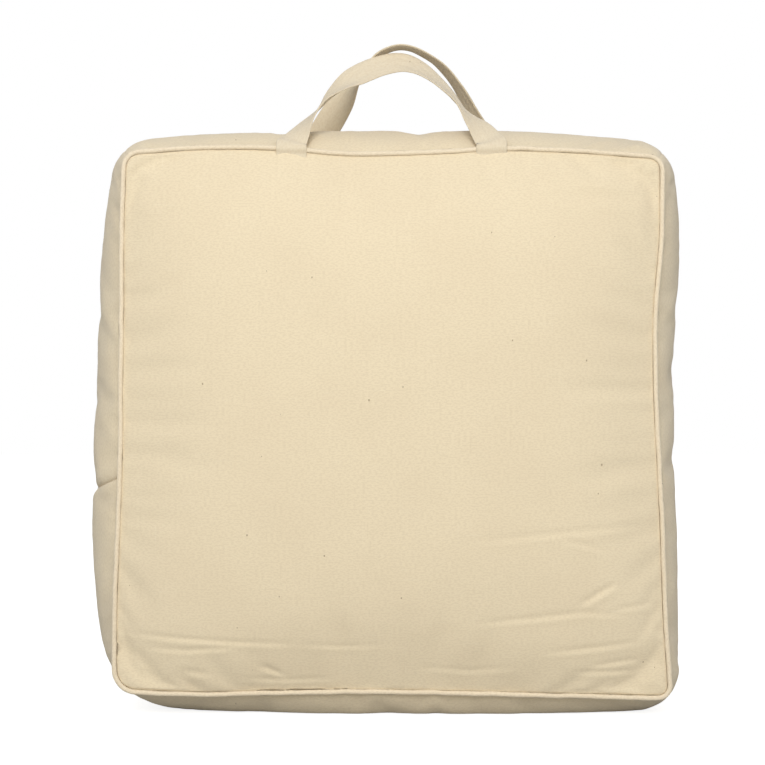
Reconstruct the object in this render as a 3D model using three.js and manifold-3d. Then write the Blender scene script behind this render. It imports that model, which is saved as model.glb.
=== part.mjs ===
// A square floor cushion in unbleached calico: two crowned faces, a boxing strip between them, corded
// piping on both seams, two strap handles on the top seams and a zip along the bottom boxing.
// It stands on its bottom boxing, handles up. Millimetres, +Z up, the front face towards -Y, and the
// origin on the floor under the middle of the cushion.
import * as THREE from 'three';
import { mergeVertices } from 'three/addons/utils/BufferGeometryUtils.js';
import Module from 'manifold-3d';

// The square, measured from seam to seam
const faceSize = 600;
const seamDepth = 150;
const cornerRadius = 16;
const floorToSeam = 30;

// How far the stuffing swells each side past its seams
const faceCrown = 34;
const sideBulge = 31;
const topBulge = 27;
const bottomBulge = 40; // the floor flattens this to floorToSeam
const cornerBulge = 4;

// Cloth and seams
const cloth = 0.8;
const boxingCloth = 1.6; // the boxing is cut double
const allowance = 9;
const gap = 0.3;
const seamInset = 0.9;
const panelFold = 3.2; // from the seam plane to the panel's turned-in edge, with room for the straps
const panelEdge = 4.6; // from the seam plane to the panel's outer face at the seam
const joinGap = 0.4;

// Piping: a cord in a folded strip of the same cloth
const beadRadius = 2.8;
const beadCloth = 0.6;
const cordRadius = 1.9;
const beadOut = 2.9;
const flangeHalf = 0.8;
const flangeGap = 0.2;
const beadSides = 8;

// Inner casing and filling, measured inwards from the cover
const casingInset = 6;
const fillingInset = 13;
const wallLimit = 22; // how far they swell down over the zip
const shoulderIn = [16, 14]; // the casing's rounded edge, clear of the seam allowances
const shoulderRise = 5;
const wallDepths = [57, 32];

// Handles
const strapWidth = 34;
const strapThickness = 1.8;
const strapStart = 7.2; // clear of the bead all the way round the hinge
const strapSteps = 17;
const hingeOut = 2; // the hinge line, in front of the seam plane
const frontFeet = [-109, 113];
const backFeet = [-97, 127];
const frontLean = 31.4;
const backLean = 27.8;

// Zip, measured up from the floor
const zipHalfLength = 247;
const tapeHalfLength = 262;
const lipHalfGap = 5.5;
const lipLift = 3.4;
const lipSlope = [9.5, 1.5]; // depth and lift half-way up the lip
const flatFrom = 14; // the strip beside the lip rests flat on the floor
const flatTo = 37;
const tapeInner = 3;
const tapeOuter = 15;
const tapeLevel = [6.5, 7];
const coilHalfGap = 0.7;
const coilOuter = 2.7;
const coilLevel = [5.8, 7.8];
const stopLength = 2.5;
const sliderLength = 9;
const sliderHalfWidth = 4.2;
const sliderLevel = [4.6, 9];
const sliderPlate = 0.8;
const sliderNeck = 0.3;
const sliderRest = 240;
const crownHalfLength = 2.9;
const crownHalfWidth = 0.7;
const crownPost = 1;
const crownDrop = [1.9, 2.7];
const pinDrop = 0.95;
const pullLength = 18;
const pullWidth = 5.5;
const pullWire = 0.9;
const pullEye = [5, 1.6]; // how far the eye reaches along the tab and to each side

const half = faceSize / 2;
const seamPlane = seamDepth / 2;
const centreHeight = floorToSeam + half;
const topSeam = floorToSeam + faceSize;
const stripHalf = seamPlane - flangeHalf - gap; // the boxing's turned-in edge

const wasm = await Module();
wasm.setup();

function material(name, color, roughness, metalness = 0) {
  const made = new THREE.MeshStandardMaterial({ color, roughness, metalness });
  made.name = name;
  return made;
}

const calico = material('calico', 0xe3d3b2, 0.95);
const lining = material('lining', 0xece4d2, 0.95);
const fibre = material('fibre', 0xf4f2ec, 1);
const cord = material('cord', 0xefe9da, 0.95);
const tapeCloth = material('tape', 0xdccfb0, 0.9);
const nylon = material('nylon', 0xd8cbab, 0.45);
const nickel = material('nickel', 0xb9b9b6, 0.3, 1);

const cushion = new THREE.Group();

function add(name, geometry, surface, parent = cushion) {
  const mesh = new THREE.Mesh(geometry, surface);
  mesh.name = name;
  parent.add(mesh);
  return mesh;
}

// Leaves only the merged positions, with the faces turned outwards.
function solid(geometry) {
  const plain = geometry.clone();
  plain.deleteAttribute('normal');
  plain.deleteAttribute('uv');
  const merged = mergeVertices(plain, 1e-3);
  const at = merged.attributes.position;
  const corners = [new THREE.Vector3(), new THREE.Vector3(), new THREE.Vector3()];
  const kept = [];
  let volume = 0;
  for (let i = 0; i < merged.index.count; i += 3) {
    const face = [0, 1, 2].map((k) => merged.index.getX(i + k));
    if (new Set(face).size < 3) continue;
    face.forEach((index, k) => corners[k].fromBufferAttribute(at, index));
    volume += corners[0].dot(corners[1].clone().cross(corners[2]));
    kept.push(...face);
  }
  merged.setIndex(volume < 0 ? kept.reverse() : kept);
  return merged;
}

// Moves every vertex to where move(point, index) puts it.
function reshape(geometry, move) {
  const at = geometry.attributes.position;
  const point = new THREE.Vector3();
  for (let i = 0; i < at.count; i += 1) {
    point.fromBufferAttribute(at, i);
    const moved = move(point, i);
    at.setXYZ(i, moved.x, moved.y, moved.z);
  }
  return geometry;
}

function joined(geometries) {
  const solids = geometries.map((geometry) => {
    const clean = solid(geometry);
    return new wasm.Manifold(new wasm.Mesh({
      numProp: 3,
      vertProperties: new Float32Array(clean.attributes.position.array),
      triVerts: new Uint32Array(clean.index.array),
    }));
  });
  const whole = solids.reduce((sum, next) => sum.add(next)).getMesh();
  const geometry = new THREE.BufferGeometry();
  geometry.setAttribute('position', new THREE.BufferAttribute(whole.vertProperties, 3));
  geometry.setIndex(new THREE.BufferAttribute(whole.triVerts, 1));
  return geometry;
}

// ---- The seam line ----
// One round of the square, anticlockwise seen from the front. Every ring-shaped piece uses these
// stations, so their facets lie parallel and thin gaps between layers stay open.
const sideStations = [-0.87, -0.55, -0.21, 0.21, 0.55, 0.87];
const perSide = sideStations.length + 3;
const rounds = perSide * 4;
const bottomRight = sideStations.length + 1;
const topRight = bottomRight + perSide;
const topLeft = topRight + perSide;
const bottomLeft = topLeft + perSide - rounds;
const crossSeam = perSide * 3 + 3;

function seamLine() {
  const sides = [
    { bulge: bottomBulge, power: 12, limit: floorToSeam },
    { bulge: sideBulge, power: 4, limit: sideBulge },
    { bulge: topBulge, power: 6, limit: topBulge },
    { bulge: sideBulge, power: 4, limit: sideBulge },
  ];
  const stations = [];
  sides.forEach((side, number) => {
    const turn = (number * Math.PI) / 2;
    const put = (x, z, bulge) => stations.push({
      x: x * Math.cos(turn) - z * Math.sin(turn),
      z: x * Math.sin(turn) + z * Math.cos(turn),
      bulge,
      limit: side.limit,
    });
    for (const t of sideStations) {
      const swell = 1 - Math.abs(t) ** side.power;
      put(t * half, -half, cornerBulge + (side.bulge - cornerBulge) * swell);
    }
    for (const angle of [0, 45, 90]) {
      const a = THREE.MathUtils.degToRad(angle);
      const centre = half - cornerRadius;
      const x = centre + cornerRadius * Math.sin(a);
      put(x, -centre - cornerRadius * Math.cos(a), cornerBulge);
    }
  });
  return stations;
}

const stations = seamLine();

function stationAt(s) {
  const from = stations[((Math.floor(s) % rounds) + rounds) % rounds];
  const to = stations[(((Math.floor(s) + 1) % rounds) + rounds) % rounds];
  const t = s - Math.floor(s);
  const mix = (key) => from[key] + (to[key] - from[key]) * t;
  return { x: mix('x'), z: mix('z'), bulge: mix('bulge'), limit: mix('limit') };
}

// A point at station s, out millimetres outside the seam line and y deep. With swell it also follows
// the boxing's bulge there.
function place(s, out, y, swell = 0) {
  const at = stationAt(s);
  const arc = Math.max(0, 1 - (y / stripHalf) ** 2);
  const bulge = Math.min(at.bulge * arc, at.limit, swell);
  const grow = 1 + (out + bulge) / half;
  return new THREE.Vector3(at.x * grow, y, centreHeight + at.z * grow);
}

// ---- Pieces that run along the seam line ----
function lengthAlong(s) {
  const from = stationAt(Math.floor(s));
  const to = stationAt(Math.floor(s) + 1);
  return Math.hypot(to.x - from.x, to.z - from.z);
}

// The outline's x is the distance out and its y the depth. Each end stops half a join gap short.
function alongSeam(outline, first, last, swell = 0) {
  const steps = last - first;
  const strip = new THREE.ExtrudeGeometry(outline, { depth: steps, steps, bevelEnabled: false });
  const startShift = joinGap / 2 / lengthAlong(first);
  const endShift = joinGap / 2 / lengthAlong(last - 1);
  return reshape(strip, (point) => {
    const step = Math.round(point.z);
    let s = first + step;
    if (step === 0) s += startShift;
    if (step === steps) s -= endShift;
    const drawn = swell ? arch(point.y) : 0;
    return place(s, point.x - drawn, point.y, swell);
  });
}

// The boxing's sections are drawn already arched, so that their cut ends close as thin bands.
function arch(y) {
  return 0.65 * sideBulge * Math.max(0, 1 - (y / stripHalf) ** 2);
}

function archedOutline(points) {
  return outlineOf(points.map(([out, y]) => [out + arch(y), y]));
}

function outlineOf(points) {
  return new THREE.Shape(points.map(([x, y]) => new THREE.Vector2(x, y)));
}

// Outer and inner line of a strip of cloth, with both edges turned in along the seam allowances.
function stripOutline(outer) {
  const inner = outer.map(([out, y]) => [out - boxingCloth, y]).reverse();
  const near = outer[0][1];
  const far = outer[outer.length - 1][1];
  const turnedIn = -seamInset - allowance;
  inner[0] = [-seamInset - boxingCloth, far - boxingCloth * Math.sign(far)];
  inner[inner.length - 1] = [-seamInset - boxingCloth, near - boxingCloth * Math.sign(near)];
  return archedOutline([
    [turnedIn, near],
    ...outer,
    [turnedIn, far],
    [turnedIn, far - boxingCloth * Math.sign(far)],
    ...inner,
    [turnedIn, near - boxingCloth * Math.sign(near)],
  ]);
}

function boxingOutline() {
  const depths = [-60, -40, -20, 0, 20, 40, 60];
  return stripOutline([
    [-seamInset, -stripHalf],
    ...depths.map((y) => [0, y]),
    [-seamInset, stripHalf],
  ]);
}

// Half of the bottom boxing, from its seam to the lip beside the zip. The lip is folded double and
// lifts off the floor, so that only cloth touches it.
function zipBoxingOutline(side) {
  const [slopeDepth, slopeLift] = lipSlope;
  const depths = [60, 48, flatTo, flatFrom];
  const outer = [[-seamInset, stripHalf], ...depths.map((y) => [0, y])];
  const groove = [[-slopeLift, slopeDepth], [-lipLift, lipHalfGap]];
  const foldedLip = groove.map(([out, y]) => [out - 2 * cloth, y]).reverse();
  const inner = depths.map((y) => [-cloth, y]).reverse();
  const edge = stripHalf - cloth;
  const seam = [[-seamInset - cloth, edge], [-seamInset - allowance, edge]];
  const start = [[-seamInset - allowance, stripHalf]];
  const points = [...start, ...outer, ...groove, ...foldedLip, ...inner, ...seam];
  return archedOutline(points.map(([out, y]) => [out, y * side]));
}

function boxing() {
  const strip = boxingOutline();
  const swell = sideBulge;
  add('right_boxing', solid(alongSeam(strip, bottomRight, topRight, swell)), calico);
  add('top_boxing', solid(alongSeam(strip, topRight, topLeft, swell)), calico);
  add('left_boxing_upper', solid(alongSeam(strip, topLeft, crossSeam, swell)), calico);
  add('left_boxing_lower', solid(alongSeam(strip, crossSeam, bottomLeft + rounds, swell)), calico);
  for (const [name, side] of [['front', -1], ['back', 1]]) {
    const halfStrip = alongSeam(zipBoxingOutline(side), bottomLeft, bottomRight, swell);
    add(`zip_boxing_${name}`, solid(halfStrip), calico);
  }
}

function arcPoints(radius, from, to, count) {
  return Array.from({ length: count + 1 }, (_, k) => {
    const a = THREE.MathUtils.degToRad(from + ((to - from) * k) / count);
    return [beadOut + radius * Math.cos(a), radius * Math.sin(a)];
  });
}

// A strip folded round the cord: its two legs run in between the seam allowances.
function pipingCoverOutline() {
  const inside = beadRadius - beadCloth;
  const outer = arcPoints(beadRadius, 135, -135, beadSides - 2);
  const inner = arcPoints(inside, -135, 135, beadSides - 2);
  const outerMouth = beadOut - Math.sqrt(beadRadius ** 2 - flangeHalf ** 2);
  const innerMouth = beadOut - Math.sqrt(inside ** 2 - flangeGap ** 2);
  return [
    [-allowance, flangeHalf],
    [outerMouth, flangeHalf],
    ...outer,
    [outerMouth, -flangeHalf],
    [-allowance, -flangeHalf],
    [-allowance, -flangeGap],
    [innerMouth, -flangeGap],
    ...inner,
    [innerMouth, flangeGap],
    [-allowance, flangeGap],
  ];
}

function piping() {
  const full = 360 / beadSides;
  const core = arcPoints(cordRadius, 0, 360 - full, beadSides - 1);
  for (const [name, side] of [['front', -1], ['back', 1]]) {
    const at = (points) => outlineOf(points.map(([out, y]) => [out, y + side * seamPlane]));
    const cover = alongSeam(at(pipingCoverOutline()), crossSeam, crossSeam + rounds);
    const inside = alongSeam(at(core), crossSeam, crossSeam + rounds);
    add(`${name}_piping_cover`, solid(cover), calico);
    add(`${name}_piping_cord`, solid(inside), cord);
  }
}

// ---- Faces, casing and filling ----
function crownHeight(share) {
  return seamPlane + panelEdge + faceCrown * (1 - share ** 3);
}

const crownShares = [0, 0.27, 0.55, 0.77, 0.91];

// Turns a profile of [radius, depth, follows the bulge] rows into a rounded square.
function squared(rows) {
  const profile = rows.map(([radius, y]) => new THREE.Vector2(radius, y));
  const turned = new THREE.LatheGeometry(profile, rounds);
  return solid(reshape(turned, (point, index) => {
    const [radius, y, follows] = rows[index % rows.length];
    return place(Math.floor(index / rows.length), radius - half, y, follows ? wallLimit : 0);
  }));
}

function panel(side) {
  const shares = [...crownShares, 0.965];
  const edge = half - seamInset;
  const outer = shares.map((share) => [share === 0 ? 0 : share * half, crownHeight(share)]);
  outer[0][1] = outer[1][1];
  const inner = outer.map(([radius, y]) => [radius, y - cloth]).reverse();
  const turnedIn = edge - allowance;
  const fold = seamPlane + panelFold;
  const rows = [
    ...outer,
    [edge, seamPlane + panelEdge],
    [edge, fold],
    [turnedIn, fold],
    ...inner,
  ];
  return squared(rows.map(([radius, y]) => [radius, y * side, false]));
}

// The rows of a skin that lies inset millimetres inside the cover, from the crown to near mid-depth.
function skinRows(inset, last) {
  const deeper = inset - casingInset;
  const dome = crownShares.map((share) => [share * half, crownHeight(share) - inset, false]);
  dome[0][1] = dome[1][1];
  return [
    ...dome,
    [half - shoulderIn[0] - deeper, seamPlane + shoulderRise - deeper, false],
    [half - shoulderIn[1] - deeper, seamPlane - shoulderRise - deeper, false],
    ...[...wallDepths, last].map((y) => [half - inset, y, true]),
  ];
}

function mirrored(rows, side) {
  return rows.map(([radius, y, follows]) => [radius, y * side, follows]);
}

function inside() {
  for (const [name, side] of [['front', -1], ['back', 1]]) {
    const outer = skinRows(casingInset, joinGap / 2);
    const inner = skinRows(casingInset + cloth, joinGap / 2).reverse();
    add(`inner_casing_${name}`, squared(mirrored([...outer, ...inner], side)), lining);
  }
  const front = mirrored(skinRows(fillingInset, 0), -1);
  const back = skinRows(fillingInset, 0).slice(0, -1).reverse();
  add('fibre_filling', squared([...front, ...back]), fibre);
}

// ---- Handles ----
// Centre lines across and up each handle's own plane, from the left foot to the right foot.
const frontLoop = [
  [frontFeet[0], strapStart], [-107, 24], [-84, 54], [-64, 80], [-44, 104], [-18, 121],
  [12, 129], [43, 110], [66, 84], [89, 50], [111, 22], [frontFeet[1], strapStart],
];
const backLoop = [
  [backFeet[0], strapStart], [-95, 20], [-78, 46], [-48, 96], [-16, 138], [12, 152],
  [58, 134], [87, 106], [102, 78], [119, 48], [126, 22], [backFeet[1], strapStart],
];

// How far the strap is twisted out of its plane, from one foot to the other.
function twistAt(t, most) {
  const fromFoot = Math.min(t, 1 - t) / 0.3;
  return most * THREE.MathUtils.smoothstep(fromFoot, 0.15, 1);
}

function strap(loop, most) {
  const curve = new THREE.CatmullRomCurve3(loop.map(([x, z]) => new THREE.Vector3(x, 0, z)));
  curve.arcLengthDivisions = 400;
  const box = new THREE.BoxGeometry(1, strapWidth, strapThickness, strapSteps, 1, 1);
  const normal = new THREE.Vector3(0, -1, 0);
  return solid(reshape(box, (point) => {
    const t = THREE.MathUtils.clamp(point.x + 0.5, 0, 1);
    const along = curve.getTangentAt(t);
    if (t < 0.01) along.set(0, 0, 1);
    if (t > 0.99) along.set(0, 0, -1);
    const twist = twistAt(t, THREE.MathUtils.degToRad(most));
    const across = new THREE.Vector3().crossVectors(along, normal);
    across.multiplyScalar(Math.cos(twist)).addScaledVector(normal, Math.sin(twist));
    const face = new THREE.Vector3().crossVectors(along, across);
    const spot = curve.getPointAt(t);
    return spot.addScaledVector(across, point.y).addScaledVector(face, point.z);
  }));
}

function handle(name, side, loop, feet, lean, most) {
  const pivot = new THREE.Group();
  pivot.position.set(0, side * (seamPlane + hingeOut), topSeam);
  pivot.rotation.x = THREE.MathUtils.degToRad(side * lean);
  cushion.add(pivot);
  add(`${name}_handle`, strap(loop, most), calico, pivot);
  const tailDepth = flangeHalf + gap + strapThickness / 2;
  const tailLength = allowance - gap;
  for (const [end, x] of [['left', feet[0]], ['right', feet[1]]]) {
    const tail = new THREE.BoxGeometry(strapWidth, strapThickness, tailLength);
    const mesh = add(`${name}_handle_tail_${end}`, tail, calico);
    mesh.position.set(x, side * (seamPlane + tailDepth), topSeam - gap - tailLength / 2);
  }
}

// ---- Zip ----
function bar(x, y, z) {
  const box = new THREE.BoxGeometry(x[1] - x[0], y[1] - y[0], z[1] - z[0]);
  box.translate((x[0] + x[1]) / 2, (y[0] + y[1]) / 2, (z[0] + z[1]) / 2);
  return box;
}

function tapesAndCoils() {
  for (const [name, side] of [['front', -1], ['back', 1]]) {
    const sideways = (a, b) => [a * side, b * side].sort((p, q) => p - q);
    const tapeAcross = sideways(tapeInner, tapeOuter);
    const coilAcross = sideways(coilHalfGap, coilOuter);
    const tape = bar([-tapeHalfLength, tapeHalfLength], tapeAcross, tapeLevel);
    const coil = bar([-zipHalfLength, zipHalfLength], coilAcross, coilLevel);
    const stopFrom = zipHalfLength + gap;
    const stop = bar([stopFrom, stopFrom + stopLength], coilAcross, coilLevel);
    add(`zip_tape_${name}`, tape, tapeCloth);
    add(`zip_coil_${name}`, coil, nylon);
    add(`zip_top_stop_${name}`, stop, nickel);
  }
  const end = -zipHalfLength - gap;
  const bottomStop = bar([end - stopLength, end], [-coilOuter, coilOuter], coilLevel);
  add('zip_bottom_stop', bottomStop, nickel);
}

// Two plates joined by a neck between the coils, with a crown underneath that holds the pull.
function sliderBody() {
  const [low, high] = sliderLevel;
  const ends = [-sliderLength / 2, sliderLength / 2];
  const wide = [-sliderHalfWidth, sliderHalfWidth];
  const plates = [
    bar(ends, wide, [low, low + sliderPlate]),
    bar(ends, wide, [high - sliderPlate, high]),
    bar([-2, 2], [-sliderNeck, sliderNeck], [low + sliderPlate / 2, high - sliderPlate / 2]),
  ];
  const narrow = [-crownHalfWidth, crownHalfWidth];
  const [barTop, barBottom] = crownDrop.map((drop) => low - drop);
  const postHeight = [barBottom, low + sliderPlate / 4];
  const crown = [
    bar([-crownHalfLength, crownPost - crownHalfLength], narrow, postHeight),
    bar([crownHalfLength - crownPost, crownHalfLength], narrow, postHeight),
    bar([-crownHalfLength, crownHalfLength], narrow, [barBottom, barTop]),
  ];
  return joined([...plates, ...crown]);
}

// A flat tab whose end bar hangs in the crown.
function pullTab() {
  const back = pullWire / 2;
  const side = pullWidth / 2;
  const round = pullLength - side;
  const [eyeEnd, eyeSide] = pullEye;
  const outline = new THREE.Shape();
  outline.moveTo(-back, -side);
  outline.lineTo(round, -side);
  outline.absarc(round, 0, side, -Math.PI / 2, Math.PI / 2);
  outline.lineTo(-back, side);
  outline.holes.push(outlineOf([
    [back, -eyeSide], [back, eyeSide], [eyeEnd, eyeSide], [eyeEnd, -eyeSide],
  ]));
  const options = { depth: pullWire, bevelEnabled: false, curveSegments: 8 };
  return solid(new THREE.ExtrudeGeometry(outline, options).translate(0, 0, -back));
}

function zip() {
  tapesAndCoils();
  const slider = new THREE.Group();
  slider.position.x = sliderRest;
  cushion.add(slider);
  add('zip_slider', sliderBody(), nickel, slider);
  const pull = add('zip_pull', pullTab(), nickel, slider);
  pull.position.z = sliderLevel[0] - pinDrop;
  pull.rotation.z = Math.PI;
}

inside();
for (const [name, side] of [['front', -1], ['back', 1]]) {
  add(`${name}_panel`, panel(side), calico);
}
boxing();
piping();
handle('front', -1, frontLoop, frontFeet, frontLean, 75);
handle('back', 1, backLoop, backFeet, backLean, 85);
zip();

export default cushion;
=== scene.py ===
import math

import bmesh
import bpy
import numpy as np
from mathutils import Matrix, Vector


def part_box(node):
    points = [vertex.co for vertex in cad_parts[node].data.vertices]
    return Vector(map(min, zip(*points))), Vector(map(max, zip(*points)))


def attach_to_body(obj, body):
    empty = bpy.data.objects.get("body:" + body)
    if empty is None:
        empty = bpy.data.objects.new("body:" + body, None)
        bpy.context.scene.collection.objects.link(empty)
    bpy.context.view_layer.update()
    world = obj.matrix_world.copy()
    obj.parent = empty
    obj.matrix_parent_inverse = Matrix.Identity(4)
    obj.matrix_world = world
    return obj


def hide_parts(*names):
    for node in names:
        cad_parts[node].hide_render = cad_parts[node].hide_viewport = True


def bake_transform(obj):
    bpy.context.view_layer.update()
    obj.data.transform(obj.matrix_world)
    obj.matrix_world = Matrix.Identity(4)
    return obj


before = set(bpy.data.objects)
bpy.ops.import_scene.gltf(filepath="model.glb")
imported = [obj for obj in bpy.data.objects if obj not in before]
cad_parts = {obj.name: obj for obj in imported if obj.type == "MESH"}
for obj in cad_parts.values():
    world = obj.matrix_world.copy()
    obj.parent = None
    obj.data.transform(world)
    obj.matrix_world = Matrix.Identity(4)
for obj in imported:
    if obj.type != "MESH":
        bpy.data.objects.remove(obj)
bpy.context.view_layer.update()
scene = bpy.context.scene
mm = 0.001
print("frame loaded")

# Camera, light and floor
studio = {
    "cameraAt": (-0.008, -2.025, 0.374),
    "lens": 82.7,
    "sky": 0.455,
    "keyAt": (-0.3, -2.7, 1.85),
    "keySize": 1.5,
    "keyPower": 60,
    "fillAt": (0.95, -2.9, 0.75),
    "fillSize": 1.6,
    "fillPower": 13,
    "aim": (0, 0, 0.36),
    "floorSize": 14,
    "floorColour": (0.50, 0.50, 0.49, 1),
    "floorGlow": 0.85,
}
scene.view_settings.view_transform = "Standard"
scene.view_settings.look = "None"


def softLight(name, at, size, power):
    data = bpy.data.lights.new(name, "AREA")
    data.shape = "DISK"
    data.size = size
    data.energy = power
    lamp = bpy.data.objects.new(name, data)
    lamp.location = at
    lamp.rotation_euler = (Vector(studio["aim"]) - Vector(at)).to_track_quat("-Z", "Y").to_euler()
    scene.collection.objects.link(lamp)


def makeCamera():
    lens = bpy.data.cameras.new("camera")
    lens.lens = studio["lens"]
    lens.sensor_width = 36
    camera = bpy.data.objects.new("camera", lens)
    camera.location = studio["cameraAt"]
    camera.rotation_euler = (math.pi / 2, 0, 0)
    scene.collection.objects.link(camera)
    scene.camera = camera


def makeSky():
    # even light from all round, seen as plain white
    world = bpy.data.worlds.new("studio")
    world.use_nodes = True
    nodes, links = world.node_tree.nodes, world.node_tree.links
    nodes.clear()
    path = nodes.new("ShaderNodeLightPath")
    mix = nodes.new("ShaderNodeMixShader")
    end = nodes.new("ShaderNodeOutputWorld")
    links.new(path.outputs["Is Camera Ray"], mix.inputs["Fac"])
    for strength, socket in ((studio["sky"], mix.inputs[1]), (1, mix.inputs[2])):
        light = nodes.new("ShaderNodeBackground")
        light.inputs["Color"].default_value = (1, 1, 1, 1)
        light.inputs["Strength"].default_value = strength
        links.new(light.outputs["Background"], socket)
    links.new(mix.outputs["Shader"], end.inputs["Surface"])
    scene.world = world


def meshFrom(bm, name):
    mesh = bpy.data.meshes.new(name)
    bm.to_mesh(mesh)
    bm.free()
    return mesh


def makeFloor():
    # pale paper that lights up only where the camera sees it
    bm = bmesh.new()
    bmesh.ops.create_grid(bm, x_segments=1, y_segments=1, size=studio["floorSize"] / 2)
    mesh = meshFrom(bm, "floor")
    floor = bpy.data.objects.new("floor", mesh)
    scene.collection.objects.link(floor)
    paper = bpy.data.materials.new("palePaper")
    paper.use_nodes = True
    shader = paper.node_tree.nodes["Principled BSDF"]
    shader.inputs["Base Color"].default_value = studio["floorColour"]
    shader.inputs["Roughness"].default_value = 0.95
    shader.inputs["Specular IOR Level"].default_value = 0.1
    shader.inputs["Emission Color"].default_value = (1, 1, 1, 1)
    look = paper.node_tree.nodes.new("ShaderNodeLightPath")
    glow = paper.node_tree.nodes.new("ShaderNodeMath")
    glow.operation = "MULTIPLY"
    glow.inputs[1].default_value = studio["floorGlow"]
    paper.node_tree.links.new(look.outputs["Is Camera Ray"], glow.inputs[0])
    paper.node_tree.links.new(glow.outputs[0], shader.inputs["Emission Strength"])
    mesh.materials.append(paper)


makeCamera()
makeSky()
softLight("key", studio["keyAt"], studio["keySize"], studio["keyPower"])
softLight("fill", studio["fillAt"], studio["fillSize"], studio["fillPower"])
makeFloor()
print("camera, light and floor placed")


# Materials
def newGroup(name, inputs, outputs):
    group = bpy.data.node_groups.new(name, "ShaderNodeTree")
    for label, kind, value in inputs:
        socket = group.interface.new_socket(label, in_out="INPUT", socket_type=kind)
        if value is not None:
            socket.default_value = value
    for label, kind in outputs:
        group.interface.new_socket(label, in_out="OUTPUT", socket_type=kind)
    return group, group.nodes.new("NodeGroupInput"), group.nodes.new("NodeGroupOutput")


def attach(tree, value, socket):
    if isinstance(value, bpy.types.NodeSocket):
        tree.links.new(value, socket)
    else:
        socket.default_value = value


def sums(tree, operation, first, second=0.0, third=0.0):
    node = tree.nodes.new("ShaderNodeMath")
    node.operation = operation
    for value, socket in zip((first, second, third), node.inputs):
        attach(tree, value, socket)
    return node.outputs[0]


def times(tree, first, second):
    return sums(tree, "MULTIPLY", first, second)


def stretched(tree, vector, scale, shift=(0, 0, 0)):
    node = tree.nodes.new("ShaderNodeMapping")
    node.inputs["Scale"].default_value = scale
    node.inputs["Location"].default_value = shift
    tree.links.new(vector, node.inputs["Vector"])
    return node.outputs["Vector"]


def noiseAt(tree, vector, scale, detail=2.0, roughness=0.5):
    node = tree.nodes.new("ShaderNodeTexNoise")
    attach(tree, scale, node.inputs["Scale"])
    node.inputs["Detail"].default_value = detail
    node.inputs["Roughness"].default_value = roughness
    tree.links.new(vector, node.inputs["Vector"])
    return node.outputs["Fac"]


def between(tree, value, low, high, to=(0.0, 1.0)):
    node = tree.nodes.new("ShaderNodeMapRange")
    node.interpolation_type = "SMOOTHSTEP"
    tree.links.new(value, node.inputs["Value"])
    for label, number in zip(("From Min", "From Max", "To Min", "To Max"), (low, high, *to)):
        attach(tree, number, node.inputs[label])
    return node.outputs["Result"]


def blended(tree, share, first, second):
    node = tree.nodes.new("ShaderNodeMix")
    node.data_type = "RGBA"
    attach(tree, share, node.inputs["Factor"])
    attach(tree, first, node.inputs["A"])
    attach(tree, second, node.inputs["B"])
    return node.outputs["Result"]


def plainWeaveGroup():
    # over-and-under threads on cloth coordinates in metres
    group, start, end = newGroup(
        "plainWeave",
        [
            ("Cloth", "NodeSocketVector", None),
            ("Thread Spacing", "NodeSocketFloat", 0.0006),
            ("Unevenness", "NodeSocketFloat", 0.25),
        ],
        [("Height", "NodeSocketFloat"), ("Gap Shade", "NodeSocketFloat")],
    )
    parts = group.nodes.new("ShaderNodeSeparateXYZ")
    group.links.new(start.outputs["Cloth"], parts.inputs["Vector"])
    wander = noiseAt(group, start.outputs["Cloth"], 160.0, 2.0)
    wander = times(group, sums(group, "SUBTRACT", wander, 0.5), start.outputs["Unevenness"])
    turn = sums(group, "DIVIDE", math.pi, start.outputs["Thread Spacing"])
    warp = times(group, sums(group, "MULTIPLY_ADD", wander, 0.004, parts.outputs["X"]), turn)
    weft = times(group, sums(group, "MULTIPLY_ADD", wander, -0.005, parts.outputs["Y"]), turn)
    warpRound = sums(group, "ABSOLUTE", sums(group, "SINE", warp))
    weftRound = sums(group, "ABSOLUTE", sums(group, "SINE", weft))
    swap = times(group, sums(group, "COSINE", warp), sums(group, "COSINE", weft))
    over = between(group, swap, -0.25, 0.25)
    high = times(group, warpRound, over)
    low = times(group, weftRound, sums(group, "SUBTRACT", 1.0, over))
    height = sums(group, "ADD", high, low)
    # painted shade: this mask is high in the gaps between threads, where the cloth is then darkened
    gapShade = between(group, times(group, warpRound, weftRound), 0.28, 0.02)
    group.links.new(height, end.inputs["Height"])
    group.links.new(gapShade, end.inputs["Gap Shade"])
    return group


def slubGroup():
    # thick and thin yarns: long narrow streaks both ways of the cloth
    group, start, end = newGroup(
        "slubYarns",
        [("Cloth", "NodeSocketVector", None), ("Amount", "NodeSocketFloat", 1.0)],
        [("Height", "NodeSocketFloat"), ("Light Yarn", "NodeSocketFloat"), ("Dark Yarn", "NodeSocketFloat")],
    )
    cloth = start.outputs["Cloth"]
    weft = noiseAt(group, stretched(group, cloth, (26, 820, 1)), 1.0, 1.0)
    warp = noiseAt(group, stretched(group, cloth, (760, 22, 1), (3, 5, 0)), 1.0, 1.0)
    light = sums(group, "MAXIMUM", between(group, weft, 0.66, 0.82), between(group, warp, 0.70, 0.84))
    dark = sums(group, "MAXIMUM", between(group, weft, 0.32, 0.22), between(group, warp, 0.30, 0.21))
    light = times(group, light, start.outputs["Amount"])
    dark = times(group, dark, start.outputs["Amount"])
    height = sums(group, "SUBTRACT", light, times(group, dark, 0.4))
    group.links.new(height, end.inputs["Height"])
    group.links.new(light, end.inputs["Light Yarn"])
    group.links.new(dark, end.inputs["Dark Yarn"])
    return group


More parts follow.
